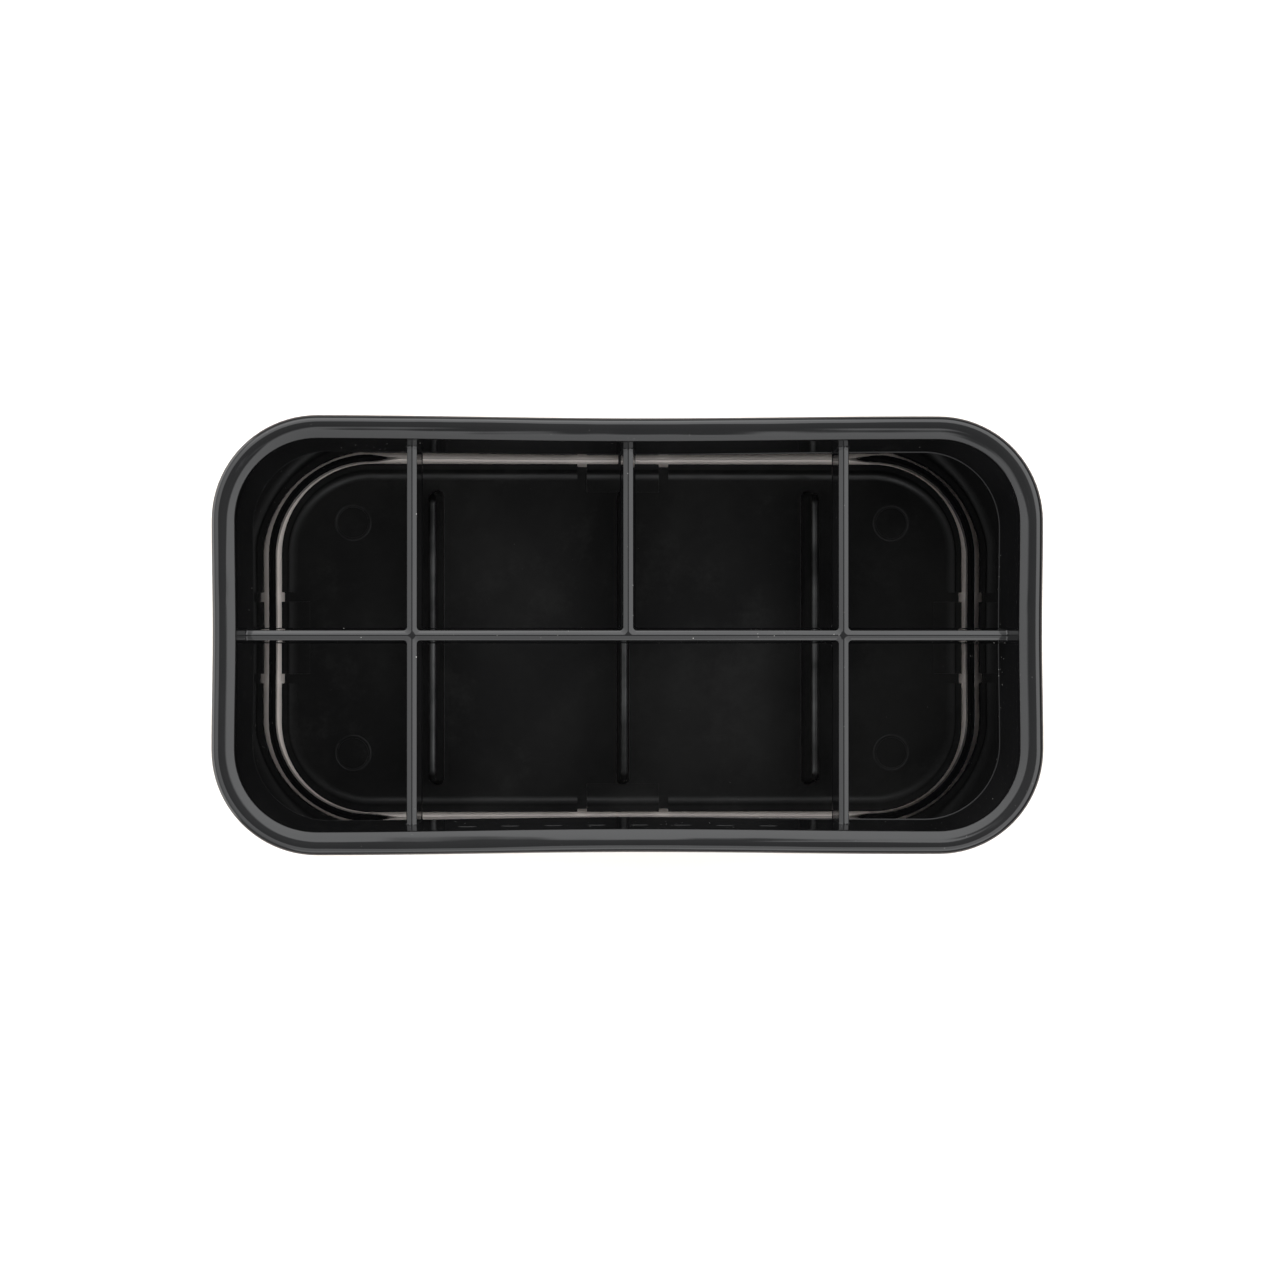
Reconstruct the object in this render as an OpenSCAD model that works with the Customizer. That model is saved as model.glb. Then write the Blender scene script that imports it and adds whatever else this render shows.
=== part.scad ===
// Deep free-standing display holder with a seven-cell grid under its rim.
// Millimetres. The origin is on the table, under the middle of the holder, +Z is up,
// +X runs along the long side and the half divider stands on the +Y (back) side.

/* [Rim] */
// Length over the rim
rim_l = 200.4; // [190:0.2:210]
// Width over the rim, at the corners
rim_w = 105.8; // [102:0.2:110]
// Height of the rim above the table
rim_z = 109; // [95:1:125]
// Outer corner radius of the rim
rim_r = 25.3; // [22:0.1:28]
// Width of the lip seen from above
lip_w = 5.7; // [5.5:0.1:6.4]
// Height of the lip's outer flange
lip_h = 7; // [5:0.5:9]
// How far the middle of a long side bows inwards
bow_long = 0.64; // [0:0.02:0.7]
// How far the middle of a short side bows inwards
bow_short = 0.28; // [0:0.02:0.4]

/* [Skirt and grid] */
// Depth of the skirt's lower edge below the rim
skirt_depth = 22; // [18:0.5:26]
// Thickness of the skirt's lower edge
skirt_t = 1.5; // [1.4:0.1:1.7]
// Inward lean of the skirt over its depth
skirt_lean = 1.2; // [0.4:0.1:1.6]
// Depth of the dividers' top edges below the rim
grid_drop = 12; // [8:0.5:14]
// Width of a divider at its top
bar_top = 2.5; // [2:0.1:3]
// Width of a divider at its foot
bar_foot = 3.6; // [3:0.1:4.2]
// Distance of the cross dividers from the middle
cross_x = 53.1; // [48:0.1:58]

/* [Sleeve] */
// Wall thickness
wall = 2.2; // [1.8:0.1:2.2]
// Outward lean of the end walls for each millimetre down
flare = 0.038; // [0.036:0.001:0.05]
// How much less the long walls lean, for each millimetre down
squeeze = 0.015; // [0:0.001:0.018]
// Gap between the wall's foot and the table
foot_gap = 1.8; // [1:0.1:2]
// Width of the ledge inside the foot of the end walls and corners
ledge_w = 1; // [0.4:0.1:1.1]

/* [Floor plate] */
// Height of the floor's top face above the table
floor_z = 4.3; // [4:0.1:5]
// Thickness of the plate
plate_t = 2.2; // [2:0.1:2.4]
// Half length of the plate
plate_hx = 97.8; // [97:0.1:98.2]
// Half width of the plate
plate_hy = 50; // [49.5:0.1:50.4]
// Corner radius of the plate
plate_r = 25.8; // [24:0.1:28]
// Width of the bead ring
bead_w = 2.2; // [1.8:0.1:2.4]
// Distance of the bead's middle from the plate's edge
bead_in = 2.9; // [2.6:0.1:3.4]
// Height of the low partitions above the floor
fin_h = 24; // [15:1:30]
// Half length of a partition at the floor
fin_half = 42; // [36:0.5:42]
// Width of a partition at its top
fin_top = 2; // [1.4:0.1:2.2]
// Width of a partition at the floor
fin_foot = 3.2; // [2.4:0.1:3.6]

/* [Latches] */
// Half width of a spring tongue
tongue_half = 10.2; // [8:0.1:12]
// Length of a tongue from its root to the plate's edge
tongue_l = 8; // [7:0.1:8]
// Width of a relief notch beside a tongue
notch_w = 2.9; // [2:0.1:3.2]
// Depth of a relief notch
notch_l = 0.9; // [0.8:0.1:1.4]
// Half width of the nub that carries the sleeve
nub_half = 1.3; // [1:0.1:2]

/* [Feet] */
// Diameter of a rubber foot
foot_d = 9.6; // [8:0.2:9.6]
// Distance of the feet from the middle, along the length
foot_x = 77.4; // [72:0.1:80]
// Distance of the feet from the middle, along the width
foot_y = 33.1; // [30:0.1:35]

/* [Hidden] */

$fn = 48;

// steps in each corner arc and along each side of a swept outline
corner_n = 9;
side_n = 8;
// extra corner radius gained for each millimetre below the rim
corner_growth = 0.026;
// share of the rim's bow that is left at the sleeve's foot
foot_bow = 0.4;

// the lip: its rounded edges, its outer flange and the channel that takes the sleeve
lip_edge_r = 1.9;
lip_inner_r = 0.5;
// the lip's flat runs from its outer edge to here, and its inner part slopes down by the fall
lip_flat = 2.6;
lip_fall = 0.8;
flange_t = 1.1;
channel_roof = 3.2;
fit_gap = 0.35;
sleeve_top = rim_z - channel_roof;
mouth_in = flange_t + fit_gap + wall;

// the grid: rounded top edges, and how far its ends run into the skirt
skirt_z = rim_z - skirt_depth;
bar_h = skirt_depth - grid_drop;
bar_edge_r = 0.5;
bar_bite = 0.8;
bar_x = rim_l / 2 - lip_w - skirt_lean + bar_bite;
bar_y = rim_w / 2 - lip_w - skirt_lean + bar_bite;

plate_z = floor_z - plate_t;
ledge_top = floor_z + 0.9;
ledge_rise = 1.6;
// the bead's round top is centred this far below the floor's top face
bead_sink = 0.3;
bead_foot = 0.9;
fin_lean = 2.2;
fin_corner_r = 3;

// the tongue: slits beside it, gap behind its rounded root, and its nub
slit = 0.15;
root_gap = 0.1;
root_r = plate_t / 2;
nub_out = 2.6;
back_nub_out = 1.8;
nub_h = 1.5;
nub_edge = 0.5;
nub_gap = 0.3;

// the feet sit in round seats, which show as faint marks on the floor
foot_seat = 0.8;
foot_edge = 0.6;
seat_d = 10;
mark_deep = 0.15;

shell_black = [0.05, 0.05, 0.055];
floor_black = [0.09, 0.09, 0.09];
rubber_black = [0.13, 0.13, 0.13];

// --- outlines and sweeps ---

// Points of an arc about c from angle a to angle b, in n steps.
function arc(c, r, a, b, n) =
    [for (i = [0:n]) let (t = a + (b - a) * i / n) c + r * [cos(t), sin(t)]];

// Points between p and q, bowed to the left of the way from p to q and set back to its right.
function bowed_side(p, q, bow, back) =
    let (way = (q - p) / norm(q - p), left = [-way[1], way[0]])
    [for (i = [1:side_n - 1])
        let (t = i / side_n)
        p + (q - p) * t + left * (bow * (1 - cos(360 * t)) / 2 - back)];

// Rounded rectangle of half sizes hx and hy and corner radius r, its sides bowed inwards.
// Between its corners each long side stands out again by back.
function outline(hx, hy, r, long_bow, short_bow, back) =
    let (
        corners = [for (k = [0:3])
            let (c = [(hx - r) * (k == 0 || k == 3 ? 1 : -1), (hy - r) * (k < 2 ? 1 : -1)])
            arc(c, r, 90 * k, 90 * k + 90, corner_n)]
    )
    [for (k = [0:3])
        let (
            here = corners[k],
            next = corners[(k + 1) % 4],
            long = k % 2 == 0,
            side = bowed_side(here[corner_n], next[0], long ? long_bow : short_bow, long ? back : 0)
        )
        for (p = concat(here, side))
        p];

// The holder's outline at height z, inset by v from the rim's outer edge. The long sides
// stand further in by narrow, and out again by back between the corners.
function body_ring(v, z, bow, narrow, back) =
    let (
        r = rim_r - v + corner_growth * (rim_z - z),
        hx = rim_l / 2 - v,
        hy = rim_w / 2 - v - narrow
    )
    [for (p = outline(hx, hy, r, bow * bow_long, bow * bow_short, back)) [p[0], p[1], z]];

// Closed tube whose section runs through [inset, height, share of the bow, narrow, back].
module body_sweep(section) {
    rings = [for (s = section) body_ring(s[0], s[1], s[2], s[3], s[4])];
    m = len(rings);
    n = len(rings[0]);
    points = [for (ring = rings) for (p = ring) p];
    faces = [for (j = [0:m - 1]) for (i = [0:n - 1])
        let (k = (j + 1) % m, l = (i + 1) % n)
        [j * n + i, k * n + i, k * n + l, j * n + l]];
    polyhedron(points = points, faces = faces, convexity = 8);
}

module rounded_rect(hx, hy, r) {
    square([2 * hx, 2 * (hy - r)], center = true);
    square([2 * (hx - r), 2 * hy], center = true);
    for (sx = [-1, 1], sy = [-1, 1])
        translate([sx * (hx - r), sy * (hy - r)])
            circle(r);
}

// Puts children at the middle of the plate's edge, with +X pointing outwards.
module at_edge(turn) {
    rotate(turn)
        translate([turn % 180 == 0 ? plate_hx : plate_hy, 0, 0])
            children();
}

// --- collar: lip, skirt and grid in one moulding ---

module lip_and_skirt() {
    outer_edge = arc([lip_edge_r, rim_z - lip_edge_r], lip_edge_r, 180, 90, 5);
    inner_top = rim_z - lip_fall;
    inner_edge = arc([lip_w - lip_inner_r, inner_top - lip_inner_r], lip_inner_r, 65, 0, 3);
    section = concat(
        [[0, rim_z - lip_h]],
        outer_edge,
        [[lip_flat, rim_z], [(lip_flat + lip_w) / 2, rim_z - lip_fall * 0.35]],
        inner_edge,
        [
            [lip_w + skirt_lean, skirt_z],
            [lip_w + skirt_lean - skirt_t, skirt_z],
            [mouth_in + fit_gap, sleeve_top],
            [flange_t, sleeve_top],
            [flange_t, rim_z - lip_h]
        ]
    );
    body_sweep([for (s = section) [s[0], s[1], 1, 0, 0]]);
}

// A drafted divider along +X from x0 to x1, with rounded upper edges.
module divider(x0, x1) {
    half = bar_top / 2 - bar_edge_r;
    edge_z = bar_h - bar_edge_r;
    translate([x0, 0, skirt_z])
        rotate([90, 0, 90])
            linear_extrude(x1 - x0)
                polygon(concat(
                    [[-bar_foot / 2, 0], [bar_foot / 2, 0]],
                    arc([half, edge_z], bar_edge_r, 0, 90, 4),
                    arc([-half, edge_z], bar_edge_r, 90, 180, 4)
                ));
}

module collar() {
    color(shell_black) {
        lip_and_skirt();
        divider(-bar_x, bar_x);
        for (x = [-cross_x, cross_x])
            translate([x, 0, 0])
                rotate(90)
                    divider(-bar_y, bar_y);
        rotate(90)
            divider(0, bar_y);
    }
}

// --- sleeve: the deep wall, a ledge inside the foot of its ends and corners, three nub notches ---

function wall_in(z) = mouth_in - flare * (sleeve_top - z);
function wall_bow(z) = foot_bow + (1 - foot_bow) * z / sleeve_top;
function wall_narrow(z) = squeeze * (sleeve_top - z);

// The front tongue has no nub.
function nub_reach(turn) = turn % 180 == 0 ? nub_out : back_nub_out;

module sleeve() {
    ledge_z = ledge_top + ledge_rise;
    ledge_in = wall_in(ledge_top) + ledge_w;
    // section points as [inset, height, how far the long sides stand back from the ledge]
    section = [
        [wall_in(foot_gap) - wall, foot_gap, 0],
        [wall_in(sleeve_top) - wall, sleeve_top, 0],
        [wall_in(sleeve_top), sleeve_top, 0],
        [wall_in(ledge_z), ledge_z, 0],
        [ledge_in, ledge_top, ledge_w],
        [ledge_in, foot_gap, ledge_w]
    ];
    nub_top = plate_z + nub_h;
    color(shell_black)
        difference() {
            body_sweep([for (s = section) [s[0], s[1], wall_bow(s[1]), wall_narrow(s[1]), s[2]]]);
            for (turn = [0, 90, 180])
                at_edge(turn)
                    translate([0, -nub_half - nub_gap, 0])
                        cube([nub_reach(turn) + nub_gap, 2 * (nub_half + nub_gap), nub_top]);
        }
}

// --- floor plate: slab, bead ring, three low partitions ---

module bead_section() {
    translate([-bead_w / 2, -bead_foot])
        square([bead_w, bead_foot - bead_sink]);
    translate([0, -bead_sink])
        circle(bead_w / 2);
}

// A straight length of bead along +Y, centred on the origin.
module bead_bar(half_l) {
    translate([0, half_l, 0])
        rotate([90, 0, 0])
            linear_extrude(2 * half_l)
                bead_section();
}

module bead_ring() {
    r = plate_r - bead_in;
    cx = plate_hx - plate_r;
    cy = plate_hy - plate_r;
    translate([0, 0, floor_z]) {
        for (s = [-1, 1]) {
            translate([s * (cx + r), 0, 0])
                bead_bar(cy);
            translate([0, s * (cy + r), 0])
                rotate(90)
                    bead_bar(cx);
        }
        for (k = [0:3])
            translate([cx * (k == 0 || k == 3 ? 1 : -1), cy * (k < 2 ? 1 : -1), 0])
                rotate(90 * k)
                    rotate_extrude(angle = 90)
                        translate([r, 0])
                            bead_section();
    }
}

// A low partition across the floor: leaning ends, drafted faces and a round top.
module partition() {
    top_r = fin_top / 2;
    end_y = fin_half - fin_lean - fin_corner_r;
    intersection() {
        translate([-fin_foot, 0, 0])
            rotate([90, 0, 90])
                linear_extrude(2 * fin_foot)
                    polygon(concat(
                        [[-fin_half, 0], [fin_half, 0]],
                        arc([end_y, fin_h - fin_corner_r], fin_corner_r, 0, 90, 6),
                        arc([-end_y, fin_h - fin_corner_r], fin_corner_r, 90, 180, 6)
                    ));
        translate([0, fin_half, 0])
            rotate([90, 0, 0])
                linear_extrude(2 * fin_half)
                    polygon(concat(
                        [[-fin_foot / 2, 0], [fin_foot / 2, 0]],
                        arc([0, fin_h - top_r], top_r, 0, 180, 8)
                    ));
    }
}

// Room for one tongue and its two relief notches, cut from the plate's edge.
module tongue_window() {
    half = tongue_half + slit;
    tall = plate_t + bead_w;
    translate([-tongue_l - root_gap, -half, plate_z - 1])
        cube([tongue_l + root_gap + 1, 2 * half, tall + 1]);
    translate([-notch_l, -tongue_half - notch_w, plate_z - 1])
        cube([notch_l + 1, 2 * (tongue_half + notch_w), tall + 1]);
    translate([-bead_in - bead_w, -tongue_half - notch_w, floor_z])
        cube([bead_in + bead_w, 2 * (tongue_half + notch_w), bead_w]);
}

module floor_plate() {
    color(floor_black)
        difference() {
            union() {
                translate([0, 0, plate_z])
                    linear_extrude(plate_t)
                        rounded_rect(plate_hx, plate_hy, plate_r);
                bead_ring();
                for (x = [-cross_x, 0, cross_x])
                    translate([x, 0, floor_z])
                        partition();
            }
            for (turn = [0:90:270])
                at_edge(turn)
                    tongue_window();
            for (x = [-foot_x, foot_x], y = [-foot_y, foot_y])
                translate([x, y, 0]) {
                    cylinder(d = seat_d, h = plate_z + foot_seat);
                    translate([0, 0, floor_z - mark_deep])
                        cylinder(d = seat_d, h = 1);
                }
        }
}

// --- latches: spring tongues with a rounded root and a length of bead, three with a nub ---

module nub(reach) {
    translate([0, nub_half, plate_z])
        rotate([90, 0, 0])
            linear_extrude(2 * nub_half)
                polygon([
                    [-1, 0], [reach, 0], [reach, nub_h - nub_edge],
                    [reach - nub_edge, nub_h], [-1, nub_h]
                ]);
}

module latch(turn) {
    color(floor_black)
        at_edge(turn) {
            translate([root_r - tongue_l, -tongue_half, plate_z])
                cube([tongue_l - root_r, 2 * tongue_half, plate_t]);
            translate([root_r - tongue_l, tongue_half, plate_z + root_r])
                rotate([90, 0, 0])
                    cylinder(r = root_r, h = 2 * tongue_half);
            translate([-bead_in, 0, floor_z])
                bead_bar(tongue_half);
            if (turn != 270)
                nub(nub_reach(turn));
        }
}

module latch_left() latch(180);
module latch_right() latch(0);
module latch_front() latch(270);
module latch_back() latch(90);

// --- feet: rubber discs in the plate's seats ---

module foot(sx, sy) {
    color(rubber_black)
        translate([sx * foot_x, sy * foot_y, 0]) {
            cylinder(d1 = foot_d - 2 * foot_edge, d2 = foot_d, h = foot_edge);
            translate([0, 0, foot_edge])
                cylinder(d = foot_d, h = plate_z + foot_seat - foot_edge);
        }
}

module foot_front_left() foot(-1, -1);
module foot_front_right() foot(1, -1);
module foot_back_left() foot(-1, 1);
module foot_back_right() foot(1, 1);

collar();
sleeve();
floor_plate();
latch_left();
latch_right();
latch_front();
latch_back();
foot_front_left();
foot_front_right();
foot_back_left();
foot_back_right();
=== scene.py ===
from math import atan, copysign, cos, pi, radians, sin

import bmesh
import bpy
import mathutils.noise
from mathutils import Matrix, Vector


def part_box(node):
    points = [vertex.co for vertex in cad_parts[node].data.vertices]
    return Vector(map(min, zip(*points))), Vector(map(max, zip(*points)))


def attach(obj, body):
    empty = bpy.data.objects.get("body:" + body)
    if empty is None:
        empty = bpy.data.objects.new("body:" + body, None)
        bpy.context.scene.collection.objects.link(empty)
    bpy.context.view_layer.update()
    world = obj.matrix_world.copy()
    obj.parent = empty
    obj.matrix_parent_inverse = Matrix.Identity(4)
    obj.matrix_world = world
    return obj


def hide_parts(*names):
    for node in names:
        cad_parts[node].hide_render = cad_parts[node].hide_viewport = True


MM = 0.001
CIRCLE_STEPS = 64

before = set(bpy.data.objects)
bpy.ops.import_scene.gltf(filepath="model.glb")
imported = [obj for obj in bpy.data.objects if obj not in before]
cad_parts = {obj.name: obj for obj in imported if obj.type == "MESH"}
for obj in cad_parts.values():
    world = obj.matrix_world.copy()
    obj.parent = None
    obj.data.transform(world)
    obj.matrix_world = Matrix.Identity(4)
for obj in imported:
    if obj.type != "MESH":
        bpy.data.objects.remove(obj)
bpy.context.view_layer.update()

# --- sizes, read from the frame where it holds them ---

COLLAR_LOW, COLLAR_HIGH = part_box("collar")
SLEEVE_LOW, SLEEVE_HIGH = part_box("sleeve")
PLATE_LOW, PLATE_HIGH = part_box("floor_plate")
TONGUE_LOW, TONGUE_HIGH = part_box("latch_right")
FOOT_LOW, FOOT_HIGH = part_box("foot_back_right")

RIM_HX = COLLAR_HIGH.x
RIM_HY = COLLAR_HIGH.y
RIM_Z = COLLAR_HIGH.z
SKIRT_Z = COLLAR_LOW.z
SKIRT_DEPTH = RIM_Z - SKIRT_Z

# the holder's outline: corner radius, its growth downwards, and the bow of the sides
RIM_R = 25.3 * MM
CORNER_GROWTH = 0.026
BOW_LONG = 0.64 * MM
BOW_SHORT = 0.28 * MM
CORNER_STEPS = 22
SIDE_STEPS = 56

# collar
LIP_W = 5.7 * MM
LIP_H = 7 * MM
FLANGE_T = 1.1 * MM
CHANNEL_ROOF = 3.2 * MM
SKIRT_T = 1.5 * MM
SKIRT_LEAN = 1.2 * MM
FIT_GAP = 0.35 * MM
GRID_DROP = 12 * MM
CROSS_X = 53.1 * MM
BAR_TOP = 1.25 * MM
BAR_FOOT = 1.8 * MM
BAR_BITE = 0.75 * MM
BAR_FLARE = 0.4 * MM
BAR_FILLET = 0.9 * MM

# sleeve
WALL = 2.2 * MM
FLARE = 0.038
SQUEEZE = 0.015
LEDGE_W = 1 * MM
MOUTH_IN = FLANGE_T + FIT_GAP + WALL
FOOT_BOW = 0.4

# floor plate and tongues
PLATE_R = 25.8 * MM
PLATE_T = 2.2 * MM
PLATE_Z = PLATE_LOW.z
FLOOR_Z = PLATE_Z + PLATE_T
LEDGE_TOP = FLOOR_Z + 0.9 * MM
LEDGE_RISE = 1.6 * MM
BEAD_IN = 3.1 * MM
BEAD_R = 1.6 * MM
BEAD_RISE = 0.5 * MM
FRONT_BEAD_SHARE = 0.42
END_BEAD_SHARE = 0.5
END_BEAD_SKEW = 0.85 * MM
FIN_H = PLATE_HIGH.z - FLOOR_Z
FIN_HALF = 42 * MM
FIN_LEAN = 2.2 * MM
FIN_TOP = 1 * MM
FIN_FOOT = 1.6 * MM
TONGUE_HALF = TONGUE_HIGH.y
TONGUE_L = PLATE_HIGH.x - TONGUE_LOW.x
NUB_OUT = TONGUE_HIGH.x - PLATE_HIGH.x
NUB_HALF = 1.3 * MM
BACK_NUB_OUT = 1.8 * MM
NUB_H = 1.5 * MM
SLIT = 0.15 * MM
ROOT_GAP = 0.1 * MM
NOTCH_W = 2.9 * MM
NOTCH_L = 0.9 * MM

# feet
FOOT_R = (FOOT_HIGH.x - FOOT_LOW.x) / 2
FOOT_X = (FOOT_HIGH.x + FOOT_LOW.x) / 2
FOOT_Y = (FOOT_HIGH.y + FOOT_LOW.y) / 2
FOOT_TOP = FOOT_HIGH.z
SEAT_R = 5 * MM
MARK_DEEP = 0.15 * MM

SHARP_ANGLE = radians(24)


# --- outlines ---

def arc(cx, cy, rx, ry, a, b, n):
    """Points of an elliptical arc about (cx, cy) from angle a to angle b, in degrees."""
    turns = [radians(a + (b - a) * i / n) for i in range(n + 1)]
    return [(cx + rx * cos(t), cy + ry * sin(t)) for t in turns]


def outline(hx, hy, r, long_bow=0.0, short_bow=0.0, back=0.0):
    """Rounded rectangle of half sizes hx and hy, its sides bowed inwards.

    Between its corners each long side stands out again by back.
    """
    signs = ((1, 1), (-1, 1), (-1, -1), (1, -1))
    corners = [
        arc(sx * (hx - r), sy * (hy - r), r, r, 90 * k, 90 * k + 90, CORNER_STEPS)
        for k, (sx, sy) in enumerate(signs)
    ]
    points = []
    for k in range(4):
        start, end = Vector(corners[k][-1]), Vector(corners[(k + 1) % 4][0])
        inward = Vector((start.y - end.y, end.x - start.x)).normalized()
        bow = (long_bow, short_bow)[k % 2]
        out = (back, 0)[k % 2]
        points += corners[k]
        for i in range(1, SIDE_STEPS):
            t = i / SIDE_STEPS
            near_end = min(1.0, min(i, SIDE_STEPS - i) / 3)
            shift = bow * (1 - cos(2 * pi * t)) / 2 - out * near_end
            points.append(tuple(start.lerp(end, t) + inward * shift))
    return points


def body_radius(v, z):
    return RIM_R - v + CORNER_GROWTH * (RIM_Z - z)


def body_ring(v, z, bow=1.0, narrow=0.0, back=0.0):
    """The holder's outline at height z, inset by v.

    The long sides stand further in by narrow, and out again by back between the corners.
    """
    hx, hy = RIM_HX - v, RIM_HY - v - narrow
    flat = outline(hx, hy, body_radius(v, z), bow * BOW_LONG, bow * BOW_SHORT, back)
    return [(x, y, z) for x, y in flat]


def skirt_in(z):
    """Inset of the skirt's inner face at height z."""
    return LIP_W + SKIRT_LEAN * (RIM_Z - z) / SKIRT_DEPTH


def stadium(half_w, half_l, steps=8):
    """Round-ended bar along Y."""
    end = half_l - half_w
    top = arc(0, end, half_w, half_w, 0, 180, steps)
    return top + arc(0, -end, half_w, half_w, 180, 360, steps)


# --- meshes ---

def new_piece(name, bm):
    bmesh.ops.remove_doubles(bm, verts=bm.verts, dist=1e-7)
    bmesh.ops.recalc_face_normals(bm, faces=bm.faces)
    mesh = bpy.data.meshes.new(name)
    bm.to_mesh(mesh)
    bm.free()
    piece = bpy.data.objects.new(name, mesh)
    bpy.context.scene.collection.objects.link(piece)
    return piece


def ring_piece(name, rings, loop=False):
    """Skin over rings of points: a loop joins the last to the first, else both ends are capped."""
    bm = bmesh.new()
    verts = [[bm.verts.new(p) for p in ring] for ring in rings]
    count = len(verts[0])
    pairs = list(zip(verts, verts[1:]))
    if loop:
        pairs.append((verts[-1], verts[0]))
    for low, high in pairs:
        for i in range(count):
            j = (i + 1) % count
            bm.faces.new((low[i], low[j], high[j], high[i]))
    if not loop:
        bm.faces.new(list(reversed(verts[0])))
        bm.faces.new(verts[-1])
    return new_piece(name, bm)


def prism(name, flat, low, high, place=None, steps=1):
    """Flat outline in XY raised from low to high, then moved by the matrix place."""
    levels = [low + (high - low) * i / steps for i in range(steps + 1)]
    piece = ring_piece(name, [[(x, y, z) for x, y in flat] for z in levels])
    if place is not None:
        piece.data.transform(place)
    return piece


def joined(name, pieces):
    """One mesh holding several, which must not cross."""
    bm = bmesh.new()
    for piece in pieces:
        bm.from_mesh(piece.data)
        bpy.data.objects.remove(piece)
    return new_piece(name, bm)


def combine(piece, other, how):
    """Boolean of piece with other, which is used up."""
    step = piece.modifiers.new("step", "BOOLEAN")
    step.operation = how
    step.solver = "EXACT"
    step.object = other
    shaped = piece.evaluated_get(bpy.context.evaluated_depsgraph_get())
    mesh = bpy.data.meshes.new_from_object(shaped)
    piece.modifiers.clear()
    piece.data = mesh
    bpy.data.objects.remove(other)


def smooth(piece):
    """Smooth shading, with creases where faces meet sharply and flat faces kept flat."""
    bm = bmesh.new()
    bm.from_mesh(piece.data)
    bmesh.ops.dissolve_degenerate(bm, dist=1e-7, edges=bm.edges)
    for face in bm.faces:
        face.smooth = True
    for edge in bm.edges:
        edge.smooth = len(edge.link_faces) == 2 and edge.calc_face_angle() < SHARP_ANGLE
    bm.to_mesh(piece.data)
    bm.free()
    normals = piece.modifiers.new("normals", "WEIGHTED_NORMAL")
    normals.keep_sharp = True


def finish_piece(piece, body, node, material):
    smooth(piece)
    piece.data.materials.clear()
    piece.data.materials.append(material)
    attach(piece, body)
    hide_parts(node)


# --- collar: lip, skirt and grid ---

def lip_section():
    """[inset, height] round the lip and the skirt, from the flange's inner foot outwards."""
    edge = 0.25 * MM
    crown_v, crown_z = 2.2 * MM, 1.4 * MM
    flat_end, slope_end, slope_fall = 2.5 * MM, 5.3 * MM, 0.8 * MM
    inner_r = 0.45 * MM
    slope_steps, slope_curve = 20, 1.3
    slope = []
    for i in range(slope_steps + 1):
        t = i / slope_steps
        slope.append((flat_end + (slope_end - flat_end) * t, RIM_Z - slope_fall * t ** slope_curve))
    bead_r = 0.16 * MM
    bead_z = SKIRT_Z + 0.42 * MM
    face_steps = 12
    face_h = RIM_Z - bead_z - bead_r
    inner_face = [RIM_Z - face_h * t / face_steps for t in range(1, face_steps + 1)]
    foot_in = LIP_W + SKIRT_LEAN
    foot_out = foot_in - SKIRT_T
    return (
        [(FLANGE_T, RIM_Z - LIP_H)]
        + arc(edge, RIM_Z - LIP_H + edge, edge, edge, 270, 180, 4)
        + arc(crown_v, RIM_Z - crown_z, crown_v, crown_z, 180, 90, 14)
        + slope
        + arc(LIP_W - inner_r, RIM_Z - slope_fall - inner_r, inner_r, inner_r, 65, 0, 5)
        + [(skirt_in(z), z) for z in inner_face]
        + arc(foot_in, bead_z, bead_r, bead_r, 80, -70, 6)
        + arc(foot_in - edge, SKIRT_Z + edge, edge, edge, 0, -90, 4)
        + arc(foot_out + edge, SKIRT_Z + edge, edge, edge, 270, 180, 4)
        + [(MOUTH_IN + FIT_GAP, RIM_Z - CHANNEL_ROOF), (FLANGE_T, RIM_Z - CHANNEL_ROOF)]
    )


def bar_end(at, angle, reach, w):
    """The end of a bar of half width w that flares into the wall at reach, walked anticlockwise."""
    r = BAR_FLARE
    local = (
        arc(reach - r, -w - r, r, r, 90, 0, 5)
        + [(reach + BAR_BITE, -w - r), (reach + BAR_BITE, w + r)]
        + arc(reach - r, w + r, r, r, 0, -90, 5)
    )
    c, s = cos(radians(angle)), sin(radians(angle))
    return [(at + c * x - s * y, s * x + c * y) for x, y in local]


def crossing_corner(at, angle, w, fillet):
    """The filleted corner between the bars that leave a crossing at angle and at angle + 90."""
    c, s = cos(radians(angle)), sin(radians(angle))
    out = w + fillet
    return arc(at + (c - s) * out, (s + c) * out, fillet, fillet, angle + 270, angle + 180, 6)


def grid_ring(z, w, fillet):
    v = skirt_in(z)
    hx, hy = RIM_HX - v, RIM_HY - v
    straight = hx - body_radius(v, z)

    def wall_y(x):
        return hy - BOW_LONG * (1 - cos(pi * (x + straight) / straight)) / 2

    x_reach = hx - BOW_SHORT
    left, right = -CROSS_X, CROSS_X
    flat = bar_end(0, 0, x_reach, w)
    for at in (right, 0, left):
        flat += crossing_corner(at, 0, w, fillet)
        flat += bar_end(at, 90, wall_y(at), w)
        flat += crossing_corner(at, 90, w, fillet)
    flat += bar_end(0, 180, x_reach, w)
    for at in (left, right):
        flat += crossing_corner(at, 180, w, fillet)
        flat += bar_end(at, 270, wall_y(at), w)
        flat += crossing_corner(at, 270, w, fillet)
    return [(x, y, z) for x, y in flat]


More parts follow.
